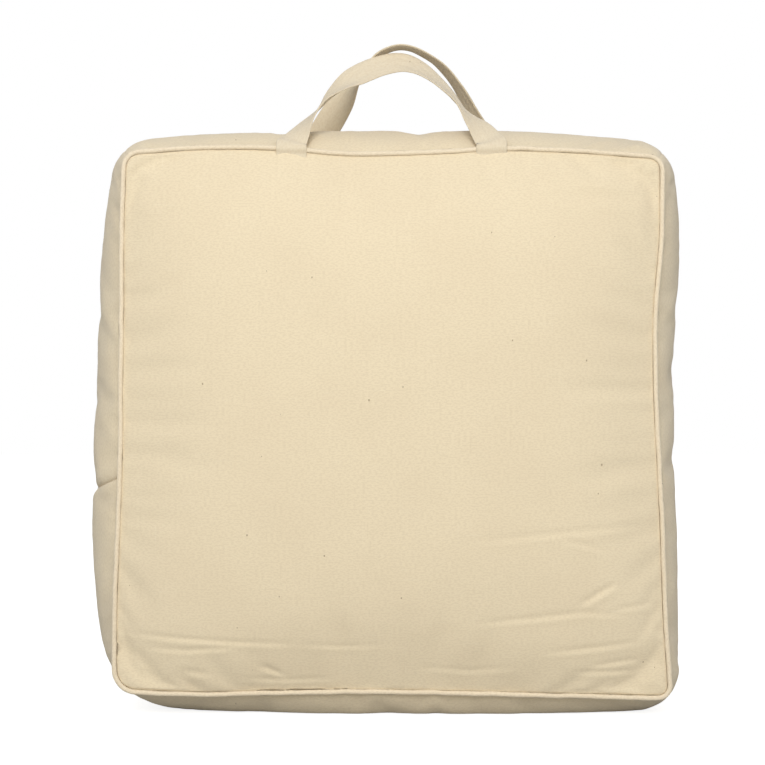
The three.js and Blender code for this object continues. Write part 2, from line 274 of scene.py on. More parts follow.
def seedSpeckGroup():
    # scattered husk specks left in unbleached cotton
    group, start, end = newGroup(
        "seedSpecks",
        [("Cloth", "NodeSocketVector", None), ("Specks Per Metre", "NodeSocketFloat", 60.0)],
        [("Mask", "NodeSocketFloat")],
    )
    cells = group.nodes.new("ShaderNodeTexVoronoi")
    wobble = stretched(group, start.outputs["Cloth"], (1, 0.7, 1))
    group.links.new(wobble, cells.inputs["Vector"])
    group.links.new(start.outputs["Specks Per Metre"], cells.inputs["Scale"])
    parts = group.nodes.new("ShaderNodeSeparateColor")
    group.links.new(cells.outputs["Color"], parts.inputs["Color"])
    size = sums(group, "MULTIPLY_ADD", parts.outputs["Green"], 0.045, 0.018)
    near = sums(group, "LESS_THAN", cells.outputs["Distance"], size)
    chosen = sums(group, "GREATER_THAN", parts.outputs["Red"], 0.62)
    group.links.new(times(group, near, chosen), end.inputs["Mask"])
    return group


plainWeave = plainWeaveGroup()
slubYarns = slubGroup()
seedSpecks = seedSpeckGroup()


def placed(tree, group, **values):
    node = tree.nodes.new("ShaderNodeGroup")
    node.node_tree = group
    for label, value in values.items():
        attach(tree, value, node.inputs[label.replace("_", " ")])
    return node


def newMaterial(name, roughness, sheen=0.0, metallic=0.0):
    material = bpy.data.materials.new(name)
    material.use_nodes = True
    tree = material.node_tree
    shader = tree.nodes["Principled BSDF"]
    shader.inputs["Roughness"].default_value = roughness
    shader.inputs["Metallic"].default_value = metallic
    shader.inputs["Sheen Weight"].default_value = sheen
    shader.inputs["Sheen Roughness"].default_value = 0.6
    return material, tree, shader


def raised(tree, shader, height, distance, strength=1.0, before=None):
    bump = tree.nodes.new("ShaderNodeBump")
    bump.inputs["Strength"].default_value = strength
    bump.inputs["Distance"].default_value = distance
    tree.links.new(height, bump.inputs["Height"])
    if before is not None:
        tree.links.new(before, bump.inputs["Normal"])
    tree.links.new(bump.outputs["Normal"], shader.inputs["Normal"])
    return bump.outputs["Normal"]


def clothCoordinates(tree, ownMap=True):
    if ownMap:
        node = tree.nodes.new("ShaderNodeUVMap")
        node.uv_map = "cloth"
        return node.outputs["UV"]
    return tree.nodes.new("ShaderNodeTexCoord").outputs["Object"]


calicoLook = {
    "colour": (0.80, 0.684, 0.478),
    "darkTone": (0.725, 0.602, 0.415),
    "lightYarn": (0.90, 0.815, 0.65),
    # dark tone of thin yarns and grain, also painted as shade in the gaps between threads
    "darkYarnAndGapShade": (0.62, 0.50, 0.33),
    "speck": (0.26, 0.17, 0.09),
    "threadSpacing": 0.00058,
    "weaveHeight": 0.00016,
    "slubHeight": 0.00010,
    "patchShare": 0.25,
    "streakShare": 0.16,
    "lightYarnShare": 0.30,
    "darkYarnShare": 0.25,
    "grainShare": 0.34,
    # how strongly painted shade darkens the gaps between threads
    "gapShadeShare": 0.35,
    "speckShare": 0.7,
    "sheen": 0.25,
    "roughness": 0.93,
}


def cotton(name, look, slubs=1.0, specks=60.0, ownMap=True):
    material, tree, shader = newMaterial(name, look["roughness"], look["sheen"])
    cloth = clothCoordinates(tree, ownMap)
    weave = placed(tree, plainWeave, Cloth=cloth, Thread_Spacing=look["threadSpacing"])
    yarns = placed(tree, slubYarns, Cloth=cloth, Amount=slubs)
    seeds = placed(tree, seedSpecks, Cloth=cloth, Specks_Per_Metre=specks)
    patches = between(tree, noiseAt(tree, cloth, 11.0, 3.0), 0.38, 0.66)
    colour = blended(tree, patches, (*look["colour"], 1), (*look["darkTone"], 1))
    colour = blended(tree, look["patchShare"], (*look["colour"], 1), colour)
    streaks = noiseAt(tree, stretched(tree, cloth, (24, 260, 1)), 1.0, 3.0)
    grain = noiseAt(tree, stretched(tree, cloth, (300, 620, 1)), 1.0, 2.0)
    layers = (
        (between(tree, streaks, 0.5, 0.75), "streakShare", "darkTone"),
        (yarns.outputs["Light Yarn"], "lightYarnShare", "lightYarn"),
        (yarns.outputs["Dark Yarn"], "darkYarnShare", "darkYarnAndGapShade"),
        (between(tree, grain, 0.42, 0.62), "grainShare", "darkYarnAndGapShade"),
        # painted shade: the gaps between threads are darkened with the dark yarn tone
        (weave.outputs["Gap Shade"], "gapShadeShare", "darkYarnAndGapShade"),
        (seeds.outputs["Mask"], "speckShare", "speck"),
    )
    for mask, share, tone in layers:
        colour = blended(tree, times(tree, mask, look[share]), colour, (*look[tone], 1))
    tree.links.new(colour, shader.inputs["Base Color"])
    fuzz = between(tree, noiseAt(tree, cloth, 900.0, 2.0), 0.3, 0.7, (0.86, 0.98))
    tree.links.new(fuzz, shader.inputs["Roughness"])
    normal = raised(tree, shader, yarns.outputs["Height"], look["slubHeight"])
    raised(tree, shader, weave.outputs["Height"], look["weaveHeight"], 0.6, normal)
    return material


calico = cotton("calico", calicoLook)
bindingLook = dict(calicoLook, colour=(0.83, 0.715, 0.53), darkTone=(0.76, 0.64, 0.455))
binding = cotton("bindingCalico", bindingLook, slubs=0.7)
strapLook = dict(calicoLook, colour=(0.735, 0.64, 0.475), threadSpacing=0.00055)
strapCloth = cotton("strapCalico", strapLook, slubs=0.8, specks=80.0)
liningLook = dict(calicoLook, colour=(0.84, 0.80, 0.70), darkTone=(0.78, 0.73, 0.62), threadSpacing=0.0005)
liningCloth = cotton("liningCotton", liningLook, slubs=0.3, specks=30.0, ownMap=False)
tapeLook = dict(calicoLook, colour=(0.74, 0.65, 0.48), darkTone=(0.68, 0.58, 0.42), threadSpacing=0.0008)
tapeWeave = cotton("zipTapeWeave", tapeLook, slubs=0.0, specks=1.0, ownMap=False)


def plyCord():
    # soft twisted cotton: slanting plies with fine fibres between them
    material, tree, shader = newMaterial("twistedCord", 0.9, 0.3)
    cloth = clothCoordinates(tree)
    parts = tree.nodes.new("ShaderNodeSeparateXYZ")
    tree.links.new(cloth, parts.inputs["Vector"])
    lay = sums(tree, "MULTIPLY_ADD", parts.outputs["Y"], 1.4, parts.outputs["X"])
    plies = sums(tree, "ABSOLUTE", sums(tree, "SINE", times(tree, lay, 900.0)))
    fibres = noiseAt(tree, stretched(tree, cloth, (700, 3000, 1)), 1.0, 2.0)
    # painted shade and highlight: the cord is darker in the grooves between plies and lighter on their
    # crowns
    colour = blended(tree, plies, (0.70, 0.63, 0.50, 1), (0.90, 0.85, 0.74, 1))
    tree.links.new(blended(tree, 0.2, colour, fibres), shader.inputs["Base Color"])
    normal = raised(tree, shader, plies, 0.0004)
    raised(tree, shader, fibres, 0.0001, 0.5, normal)
    return material


def fibreFill():
    material, tree, shader = newMaterial("loftyFibre", 1.0, 0.5)
    place = clothCoordinates(tree, False)
    tufts = noiseAt(tree, place, 34.0, 4.0, 0.65)
    hairs = noiseAt(tree, stretched(tree, place, (1400, 380, 900)), 1.0, 3.0)
    # painted shade: the fibre is greyer in the hollows between tufts and whiter on their tops
    colour = blended(tree, tufts, (0.78, 0.77, 0.73, 1), (0.95, 0.945, 0.92, 1))
    tree.links.new(blended(tree, 0.15, colour, hairs), shader.inputs["Base Color"])
    normal = raised(tree, shader, tufts, 0.004)
    raised(tree, shader, hairs, 0.0005, 0.6, normal)
    return material


def coilNylon():
    material, tree, shader = newMaterial("coilNylon", 0.38)
    place = clothCoordinates(tree, False)
    speckle = noiseAt(tree, place, 1800.0, 2.0)
    wear = noiseAt(tree, place, 220.0, 2.0)
    colour = blended(tree, wear, (0.70, 0.61, 0.44, 1), (0.80, 0.72, 0.55, 1))
    tree.links.new(colour, shader.inputs["Base Color"])
    tree.links.new(between(tree, speckle, 0.3, 0.7, (0.30, 0.48)), shader.inputs["Roughness"])
    raised(tree, shader, speckle, 0.00003, 0.5)
    return material


def nickelPlate():
    material, tree, shader = newMaterial("nickelPlate", 0.28, metallic=1.0)
    place = clothCoordinates(tree, False)
    rubbed = noiseAt(tree, place, 420.0, 4.0, 0.6)
    brushed = noiseAt(tree, stretched(tree, place, (500, 9000, 9000)), 1.0, 2.0)
    colour = blended(tree, rubbed, (0.60, 0.585, 0.55, 1), (0.76, 0.745, 0.71, 1))
    tree.links.new(colour, shader.inputs["Base Color"])
    tree.links.new(between(tree, brushed, 0.25, 0.75, (0.22, 0.42)), shader.inputs["Roughness"])
    raised(tree, shader, brushed, 0.00002, 0.4)
    return material


cordCotton = plyCord()
fibreLook = fibreFill()
nylon = coilNylon()
nickel = nickelPlate()
print("materials made")


# Shape of the cushion
cushion = {
    "faceCells": 66,
    "depthCells": 14,
    "closerAtSeams": 0.33,
    "halfWidth": 300 * mm,
    "halfDepth": 75 * mm,
    "middleHeight": 330 * mm,
    "crown": 34 * mm,
    "crownPower": 3.0,
    "crownFullness": 0.78,
    "boxingFullness": 0.80,
    "floorSoftness": 1.2 * mm,
    "offFloor": 0.2 * mm,
    "crossSeamHeight": 266 * mm,
    "crossSeamSag": 14 * mm,
    "turnedIn": 6 * mm,
}
# Distances from the middle in millimetres, at even steps: left and right run upwards, top and bottom
# rightwards. The corner radii are bottom left, bottom right, top left and top right.
frontSeam = {
    "left": [303, 303, 299.5, 296.5, 296, 295, 295, 292.5],
    "right": [309, 303.5, 300.5, 296.5, 292.5, 293, 299.5, 300],
    "top": [297, 302, 301.5, 295.5, 297, 301, 298, 292.5],
    "bottom": [296.5, 299.5, 298, 296.5, 297.5, 299.5, 301.5, 303.5],
    "corners": [22, 11, 16, 14],
}
backSeam = {
    "left": [301, 300, 298, 297, 297, 298, 298, 297],
    "right": [300, 300, 297, 298, 296, 297, 299, 298],
    "top": [297, 300, 299, 298, 299, 300, 299, 297],
    "bottom": [298, 299, 298, 298, 298, 299, 299, 298],
    "corners": [16, 16, 16, 16],
}
belly = {
    "left": [314, 331, 338.5, 338.5, 335, 330.5, 324.5, 312],
    "right": [332, 328, 327, 324.5, 323.5, 327, 330.5, 322],
    "top": [319, 325, 329, 330.5, 330.5, 329.5, 324, 317],
    "bottom": [320, 330, 337, 341, 342, 342, 336, 326],
    "corners": [66, 46, 40, 40],
}


def alongStations(values, share):
    # a smooth curve through evenly spaced values, share from -1 to 1
    last = len(values) - 1
    at = np.clip((share + 1) / 2 * last, 0, last - 1e-9)
    k = at.astype(int)
    f = at - k
    padded = np.pad(np.array(values, float), 1, mode="edge")
    a, b, c, d = (padded[k + n] for n in range(4))
    return b + 0.5 * f * (c - a + f * (2 * a - 5 * b + 4 * c - d + f * (3 * (b - c) + d - a)))


def outlineAt(shape, u, v):
    # a point of the square cut, from -1 to 1 both ways, laid out on a seam or belly outline
    corner = (v > 0) * 2 + (u > 0)
    radius = np.array(shape["corners"], float)[corner] * mm / cushion["halfWidth"]
    flat = 1 - radius
    a = np.clip((np.abs(u) - flat) / radius, 0, 1)
    b = np.clip((np.abs(v) - flat) / radius, 0, 1)
    x = np.where(a > 0, flat + radius * a * np.sqrt(1 - b * b / 2), np.abs(u)) * np.sign(u)
    z = np.where(b > 0, flat + radius * b * np.sqrt(1 - a * a / 2), np.abs(v)) * np.sign(v)
    wide = np.where(x > 0, alongStations(shape["right"], z), alongStations(shape["left"], z))
    high = np.where(z > 0, alongStations(shape["top"], x), alongStations(shape["bottom"], x))
    return x * wide * mm, cushion["middleHeight"] + z * high * mm


def graded(t):
    k = cushion["closerAtSeams"]
    return t * (1 + k) - k * t**3


def coverShape(u, d, v):
    # where each point of the cut lies before it is filled
    half = cushion["halfDepth"]
    frontX, frontZ = outlineAt(frontSeam, u, v)
    backX, backZ = outlineAt(backSeam, u, v)
    share = (d + 1) / 2
    x = frontX + (backX - frontX) * share
    z = frontZ + (backZ - frontZ) * share
    power = cushion["crownPower"]
    dome = ((1 - np.abs(u) ** power) * (1 - np.abs(v) ** power)).clip(0) ** cushion["crownFullness"]
    onFace = np.abs(d) > 0.999
    y = np.where(onFace, np.sign(d) * (half + cushion["crown"] * dome), d * half)
    full = np.where(onFace, 0, (1 - d * d).clip(0) ** cushion["boxingFullness"])
    bellyX, bellyZ = outlineAt(belly, u, v)
    x = x + (bellyX - x) * full
    z = z + (bellyZ - z) * full
    return np.stack([x, y, z], 1)


def onFloor(z):
    # flattens softly what would go through the floor
    soft = cushion["floorSoftness"]
    rest = soft * np.log1p(np.exp(np.minimum(z, 8 * soft) / soft))
    return cushion["offFloor"] + np.where(z > 8 * soft, z, rest)


def coverBlank():
    bm = bmesh.new()
    bmesh.ops.create_cube(bm, size=2)
    acrossFace = [e for e in bm.edges if abs(e.verts[0].co.y - e.verts[1].co.y) < 0.01]
    bmesh.ops.subdivide_edges(bm, edges=acrossFace, cuts=cushion["faceCells"] - 1, use_grid_fill=True)
    alongDepth = [e for e in bm.edges if abs(e.verts[0].co.y - e.verts[1].co.y) > 0.01]
    bmesh.ops.subdivide_edges(bm, edges=alongDepth, cuts=cushion["depthCells"] - 1, use_grid_fill=True)
    cut = bm.verts.layers.float_vector.new("cut")
    spots = graded(np.array([v.co for v in bm.verts]))
    shape = coverShape(spots[:, 0], spots[:, 1], spots[:, 2])
    for vert, spot, place in zip(bm.verts, spots, shape):
        vert[cut] = spot
        vert.co = place
    return meshFrom(bm, "cover")


def readPoints(mesh, name=None):
    values = np.zeros(len(mesh.vertices) * 3, np.float32)
    if name:
        mesh.attributes[name].data.foreach_get("vector", values)
    else:
        mesh.vertices.foreach_get("co", values)
    return values.reshape(-1, 3).astype(float)


def writePoints(mesh, points):
    mesh.vertices.foreach_set("co", points.astype(np.float32).ravel())
    mesh.update()


filling = {
    "pressure": 4.0,
    "slack": -0.012,
    "stiffness": 18,
    "shear": 5,
    "bending": 0.6,
    "mass": 0.3,
    "quality": 5,
    "frames": 20,
    "mostTravel": 9 * mm,
}


def fillCover(mesh):
    # inflates the cover like fibre pushed in, with both seams held by their piping
    obj = bpy.data.objects.new("fillingCover", mesh)
    scene.collection.objects.link(obj)
    before = readPoints(mesh)
    spots = readPoints(mesh, "cut")
    edge = np.maximum(np.abs(spots[:, 0]), np.abs(spots[:, 2])) > 0.9999
    seam = np.where(edge & (np.abs(spots[:, 1]) > 0.9999))[0]
    group = obj.vertex_groups.new(name="seams")
    group.add([int(i) for i in seam], 1.0, "REPLACE")
    cloth = obj.modifiers.new("filling", "CLOTH")
    cloth.settings.quality = filling["quality"]
    cloth.settings.mass = filling["mass"]
    cloth.settings.tension_stiffness = filling["stiffness"]
    cloth.settings.compression_stiffness = filling["stiffness"]
    cloth.settings.shear_stiffness = filling["shear"]
    cloth.settings.bending_stiffness = filling["bending"]
    cloth.settings.vertex_group_mass = "seams"
    cloth.settings.use_pressure = True
    cloth.settings.uniform_pressure_force = filling["pressure"]
    cloth.settings.shrink_min = filling["slack"]
    cloth.settings.effector_weights.gravity = 0
    cloth.collision_settings.use_self_collision = False
    cloth.point_cache.frame_start = 1
    cloth.point_cache.frame_end = filling["frames"]
    for number in range(1, filling["frames"] + 1):
        scene.frame_set(number)
    filled = obj.evaluated_get(bpy.context.evaluated_depsgraph_get()).to_mesh()
    after = readPoints(filled)
    travel = after - before
    length = np.linalg.norm(travel, axis=1, keepdims=True)
    most = filling["mostTravel"]
    farthest, mean = float(length.max()) / mm, float(length.mean()) / mm
    print(f"filling travel {farthest:.1f} mm, mean {mean:.1f} mm")
    travel *= most * np.tanh(length / most) / np.maximum(length, 1e-9)
    obj.modifiers.clear()
    obj.vertex_groups.clear()
    bpy.data.objects.remove(obj)
    writePoints(mesh, before + travel)
    scene.frame_set(1)


def rounded(mesh, levels):
    obj = bpy.data.objects.new("rounding", mesh)
    scene.collection.objects.link(obj)
    smooth = obj.modifiers.new("smooth", "SUBSURF")
    smooth.levels = levels
    smooth.render_levels = levels
    graph = bpy.context.evaluated_depsgraph_get()
    final = obj.evaluated_get(graph)
    finished = bpy.data.meshes.new_from_object(final, preserve_all_data_layers=True, depsgraph=graph)
    bpy.data.objects.remove(obj)
    return finished


def ripple(at, period, seed):
    # smooth unevenness along a line, the same each run
    marks = np.random.default_rng(seed).uniform(-1, 1, 512)
    s = at / period + 100
    k = np.floor(s).astype(int)
    f = s - k
    f = f * f * (3 - 2 * f)
    return marks[k % 512] * (1 - f) + marks[(k + 1) % 512] * f


def patchwork(a, b, period, seed):
    # smooth unevenness over a surface
    marks = np.random.default_rng(seed).uniform(-1, 1, (64, 64))
    s, t = a / period + 40, b / period + 40
    j, k = np.floor(s).astype(int), np.floor(t).astype(int)
    f, g = s - j, t - k
    f, g = f * f * (3 - 2 * f), g * g * (3 - 2 * g)
    low = marks[j % 64, k % 64] * (1 - f) + marks[(j + 1) % 64, k % 64] * f
    high = marks[j % 64, (k + 1) % 64] * (1 - f) + marks[(j + 1) % 64, (k + 1) % 64] * f
    return low * (1 - g) + high * g


# Creases of each face: depth, width, and points across and up, all in millimetres.
frontCreases = [
    (1.3, 3, [(-290, 97), (-239, 93), (-172, 89), (-106, 87)]),
    (1.0, 3, [(-268, 81), (-224, 79), (-165, 84)]),
    (2.2, 8, [(-284, 80), (-270, 62), (-252, 46)]),
    (1.1, 4, [(-228, 56), (-200, 52)]),
    (1.6, 3.4, [(-144, 62), (-128, 56), (-115, 50)]),
    (0.8, 3, [(-165, 47), (-110, 45), (-62, 47)]),
    (0.7, 3, [(-100, 87), (-55, 84), (-8, 86)]),
    (1.1, 3.6, [(95, 201), (181, 209), (290, 218)]),
    (0.9, 3.4, [(187, 203), (210, 197), (237, 189)]),
    (2.2, 3.6, [(208, 130), (228, 142), (248, 153)]),
    (1.2, 3.2, [(95, 110), (177, 118), (211, 122), (262, 118)]),
    (1.2, 3, [(245, 124), (290, 130)]),
    (1.2, 3.2, [(172, 77), (235, 83), (276, 88)]),
    (1.2, 3, [(225, 62), (276, 68)]),
    (0.9, 3, [(203, 54), (276, 55)]),
    (1.8, 9, [(202, 619), (240, 605), (276, 593)]),
    (1.1, 8, [(178, 576), (231, 578), (290, 577)]),
    (-0.35, 1.6, [(-169, 351), (-171, 278)]),
    (0.9, 9, [(-255, 575), (-215, 596)]),
    (0.7, 3.4, [(30, 60), (88, 56), (140, 60)]),
]
backCreases = [
    (1.4, 6, [(-290, 120), (-200, 112), (-120, 118)]),
    (1.6, 5, [(100, 95), (190, 88), (284, 94)]),
    (1.4, 6, [(-250, 62), (-190, 70)]),
    (1.6, 9, [(210, 590), (280, 572)]),
    (0.9, 5, [(-60, 66), (20, 60), (90, 66)]),
    (1.1, 7, [(180, 160), (262, 178)]),
]


# A crease is a valley with a soft ridge below it, in widths of the crease, and fades out at both ends.
creaseShape = {"ridge": 0.45, "ridgeAt": 1.7, "ridgeWide": 1.1, "fading": 0.6}


def creaseDepth(x, z, creases):
    total = np.zeros(len(x))
    for deep, wide, line in creases:
        points = np.array(line, float) * mm
        runs = np.linalg.norm(np.diff(points, axis=0), axis=1)
        whole = runs.sum()
        nearest = np.full(len(x), 1e9)
        side = np.zeros(len(x))
        along = np.zeros(len(x))
        for k, run in enumerate(runs):
            step = (points[k + 1] - points[k]) / run
            p, q = x - points[k][0], z - points[k][1]
            t = np.clip(p * step[0] + q * step[1], 0, run)
            gapX, gapZ = p - t * step[0], q - t * step[1]
            gap = np.hypot(gapX, gapZ)
            closer = gap < nearest
            nearest = np.where(closer, gap, nearest)
            side = np.where(closer, p * step[1] - q * step[0], side)
            along = np.where(closer, (runs[:k].sum() + t) / whole, along)
        wide = wide * mm
        fade = np.sin(np.pi * along.clip(0.02, 0.98)) ** creaseShape["fading"]
        valley = np.exp(-((nearest / wide) ** 2))
        below = nearest * np.sign(side)
        ridge = np.exp(-(((below - creaseShape["ridgeAt"] * wide) / (creaseShape["ridgeWide"] * wide)) ** 2))
        total += fade * deep * mm * (creaseShape["ridge"] * ridge - valley)
    return total


# Small unevenness. A pair is how high it is and how long a wave is, or how deep and how wide a dip is.
wrinkles = {
    "seamReach": 9 * mm,
    "fineGathers": (0.55 * mm, 5.5 * mm),
    "coarseGathers": (0.35 * mm, 13 * mm),
    "seamWaves": (0.9 * mm, 31 * mm),
    "seamWaveReach": 24 * mm,
    "slackBelow": 230 * mm,
    "slackHeight": 200 * mm,
    "dimples": (0.5 * mm, 64 * mm),
    "slackDimples": 1.0 * mm,
    "slackFolds": (0.25 * mm, 11 * mm),
    "creasesFrom": 7 * mm,
    "boxingGathers": (0.7 * mm, 6 * mm),
    "boxingDimples": (1.1 * mm, 46 * mm),
    "boxingFolds": (0.35 * mm, 9 * mm),
    "cornerDip": (0.9 * mm, 2.2 * mm),
    "crossSeamDip": (3.4 * mm, 5 * mm),
    "crossSeamStitch": (1.6 * mm, 1.6 * mm),
    "crossSeamReach": 30 * mm,
}


def grown(distance, within):
    # nothing at a seam, all of it a little way off
    return np.clip(distance / within, 0, 1)


def dip(distance, size):
    deep, wide = size
    return deep * np.exp(-((distance / wide) ** 2))


def gathers(along, size, seed):
    high, period = size
    return high * ripple(along, period, seed)


def dimples(a, b, size, seed):
    high, period = size
    return high * patchwork(a, b, period, seed)


def facePush(x, z, u, d, v):
    # how far each point of a face stands out: gathers at the seam, dimples, slack low down, creases
    fromSeam = (1 - np.maximum(np.abs(u), np.abs(v))) * cushion["halfWidth"]
    alongSeam = np.where(np.abs(u) > np.abs(v), z, x)
    push = gathers(alongSeam, wrinkles["fineGathers"], 3) + gathers(alongSeam, wrinkles["coarseGathers"], 4)
    push *= np.exp(-fromSeam / wrinkles["seamReach"]) * grown(fromSeam, 2 * mm)
    waves = np.exp(-fromSeam / wrinkles["seamWaveReach"]) * grown(fromSeam, 3 * mm)
    push += waves * gathers(alongSeam, wrinkles["seamWaves"], 5)
    slack = grown(wrinkles["slackBelow"] - z, wrinkles["slackHeight"])
    high, period = wrinkles["dimples"]
    push += (high + wrinkles["slackDimples"] * slack) * patchwork(x, z, period, 6)
    push += slack * dimples(x * 0.35, z, wrinkles["slackFolds"], 7)
    creases = np.where(d < 0, creaseDepth(x, z, frontCreases), creaseDepth(x, z, backCreases))
    return push + creases * grown(fromSeam, wrinkles["creasesFrom"])


def boxingTug(along, y, u, d, v, fromCrossSeam):
    # how far each point of the boxing stands out
    side = np.where(d < 0, -1.0, 1.0)
    seamGap = (1 - np.abs(d)) * cushion["halfDepth"]
    tug = gathers(along + side * 0.3, wrinkles["boxingGathers"], 8)
    tug *= np.exp(-seamGap / wrinkles["seamReach"])
    tug += dimples(along, y, wrinkles["boxingDimples"], 9)
    tug += dimples(along, y * 0.4, wrinkles["boxingFolds"], 10)
    fromCorner = (1 - np.minimum(np.abs(u), np.abs(v))) * cushion["halfWidth"]
    tug -= dip(fromCorner, wrinkles["cornerDip"])
    pinch = dip(fromCrossSeam, wrinkles["crossSeamDip"]) + dip(fromCrossSeam, wrinkles["crossSeamStitch"])
    tug -= np.where(u < -0.9999, pinch, 0)
    return tug * grown(seamGap, 2.5 * mm)


def settle(mesh):
    # gives the filled cover its small shapes and rests it on the floor
    x, y, z = readPoints(mesh).T
    u, d, v = readPoints(mesh, "cut").T
    inside = np.maximum(np.abs(u), np.abs(v)) < 0.9999
    onFace = (np.abs(d) > 0.9995) & inside
    y = np.where(onFace, y + np.sign(d) * facePush(x, z, u, d, v), y)

    onBoxing = ~onFace & (np.abs(d) < 0.9995)
    outX = np.where(np.abs(u) > 0.9999, np.sign(u), 0.0)
    outZ = np.where(np.abs(v) > 0.9999, np.sign(v), 0.0)
    length = np.maximum(np.hypot(outX, outZ), 1e-9)
    fromCrossSeam = np.abs(v - crossRow) * cushion["halfWidth"]
    tug = boxingTug(np.where(outX != 0, z, x), y, u, d, v, fromCrossSeam)
    x = np.where(onBoxing, x + tug * outX / length, x)
    z = np.where(onBoxing, z + tug * outZ / length, z)
    sag = cushion["crossSeamSag"] * (1 - d * d) * dip(fromCrossSeam, (1, wrinkles["crossSeamReach"]))
    z = np.where((u < -0.9999) & onBoxing, z - sag, z)
    writePoints(mesh, np.stack([x, y, onFloor(z)], 1))


rowsUp = graded(np.linspace(-1, 1, cushion["faceCells"] + 1))
rowHeights = cushion["middleHeight"] + rowsUp * cushion["halfWidth"]
crossRow = rowsUp[np.argmin(np.abs(rowHeights - cushion["crossSeamHeight"]))]
cover = coverBlank()
fillCover(cover)
casing = cover.copy()
cover = rounded(cover, 2)
settle(cover)
print("cover shaped and filled,", len(cover.polygons), "faces")


def faceSpots(bm, layer):
    return [sum((v[layer] for v in f.verts), Vector()) / len(f.verts) for f in bm.faces]


def clothMap(mesh, across, up):
    # own map in metres of cloth
    layer = mesh.uv_layers.get("cloth") or mesh.uv_layers.new(name="cloth")
    order = np.zeros(len(mesh.loops), np.int32)
    mesh.loops.foreach_get("vertex_index", order)
    flat = np.stack([across[order], up[order]], 1).astype(np.float32)
    layer.data.foreach_set("uv", flat.ravel())


def newPiece(name, mesh, material):
    mesh.materials.clear()
    mesh.materials.append(material)
    mesh.polygons.foreach_set("use_smooth", np.ones(len(mesh.polygons), bool))
    obj = bpy.data.objects.new(name, mesh)
    scene.collection.objects.link(obj)
    return obj


def declare(piece, node, body="cushion"):
    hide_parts(node)
    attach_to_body(piece, body)


def cutOut(name, wanted, axes, turn):
    # one panel or strip of the cover, with its seam allowance turned in
    bm = bmesh.new()
    bm.from_mesh(cover)
    layer = bm.verts.layers.float_vector["cut"]
    unwanted = [f for f, spot in zip(bm.faces, faceSpots(bm, layer)) if not wanted(spot)]
    bmesh.ops.delete(bm, geom=unwanted, context="FACES")
    rim = [e for e in bm.edges if e.is_boundary]
    made = bmesh.ops.extrude_edge_only(bm, edges=rim)["geom"]
    for vert in made:
        if isinstance(vert, bmesh.types.BMVert):
            vert.co = turn(vert.co)
    mesh = meshFrom(bm, name)
    points = readPoints(mesh)
    clothMap(mesh, points[:, axes[0]], points[:, axes[1]])
    return newPiece(name, mesh, calico)


def turned(place, towardsMiddle):
    middle = Vector((0, place.y * (1 - towardsMiddle), cushion["middleHeight"]))
    return place + (middle - place).normalized() * cushion["turnedIn"]


def turnPanel(place):
    return turned(place, 0)


def turnStrip(place):
    return turned(place, 0.04)


def ofBoxing(spot):
    return abs(spot.y) < 0.9999


def ofLeftBoxing(spot):
    return ofBoxing(spot) and spot.x < -0.9999


coverParts = {
    "front_panel": (lambda s: s.y < -0.9999, (0, 2), turnPanel),
    "back_panel": (lambda s: s.y > 0.9999, (0, 2), turnPanel),
    "top_boxing": (lambda s: ofBoxing(s) and s.z > 0.9999, (0, 1), turnStrip),
    "right_boxing": (lambda s: ofBoxing(s) and s.x > 0.9999, (2, 1), turnStrip),
    "left_boxing_upper": (lambda s: ofLeftBoxing(s) and s.z > crossRow, (2, 1), turnStrip),
    "left_boxing_lower": (lambda s: ofLeftBoxing(s) and s.z < crossRow, (2, 1), turnStrip),
}
for node, (wanted, axes, turn) in coverParts.items():
    piece = cutOut(f"{node}_cloth", wanted, axes, turn)
    declare(piece, node)
print("panels and boxing cut")

# Inner casing
casingSize = {"insideCover": 5.5 * mm, "aboveFloor": 12.5 * mm}


def casingHalf(name, side, node):
    # half of the fibre's own bag, lying just inside the cover
    bm = bmesh.new()
    bm.from_mesh(casing)
    layer = bm.verts.layers.float_vector["cut"]
    bm.normal_update()
    inward = [v.normal * casingSize["insideCover"] for v in bm.verts]
    for vert, step in zip(bm.verts, inward):
        vert.co -= step
        vert.co.z = max(vert.co.z, casingSize["aboveFloor"])
    unwanted = [f for f, spot in zip(bm.faces, faceSpots(bm, layer)) if spot.y * side < 0]
    bmesh.ops.delete(bm, geom=unwanted, context="FACES")
    mesh = meshFrom(bm, name)
    piece = newPiece(name, mesh, liningCloth)
    declare(piece, node)


casingHalf("inner_casing_front_cloth", -1, "inner_casing_front")
casingHalf("inner_casing_back_cloth", 1, "inner_casing_back")
print("inner casing made")

# Zip strips of the bottom boxing
zipStrip = {
    "lipHalfGap": 5.5 * mm,
    "closedHalfGap": 0.4 * mm,
    "zipEnds": 252 * mm,
    "lipLift": 3.4 * mm,
    "lipReach": 15 * mm,
    "foldUp": 1.5 * mm,
    "foldBack": 5 * mm,
}


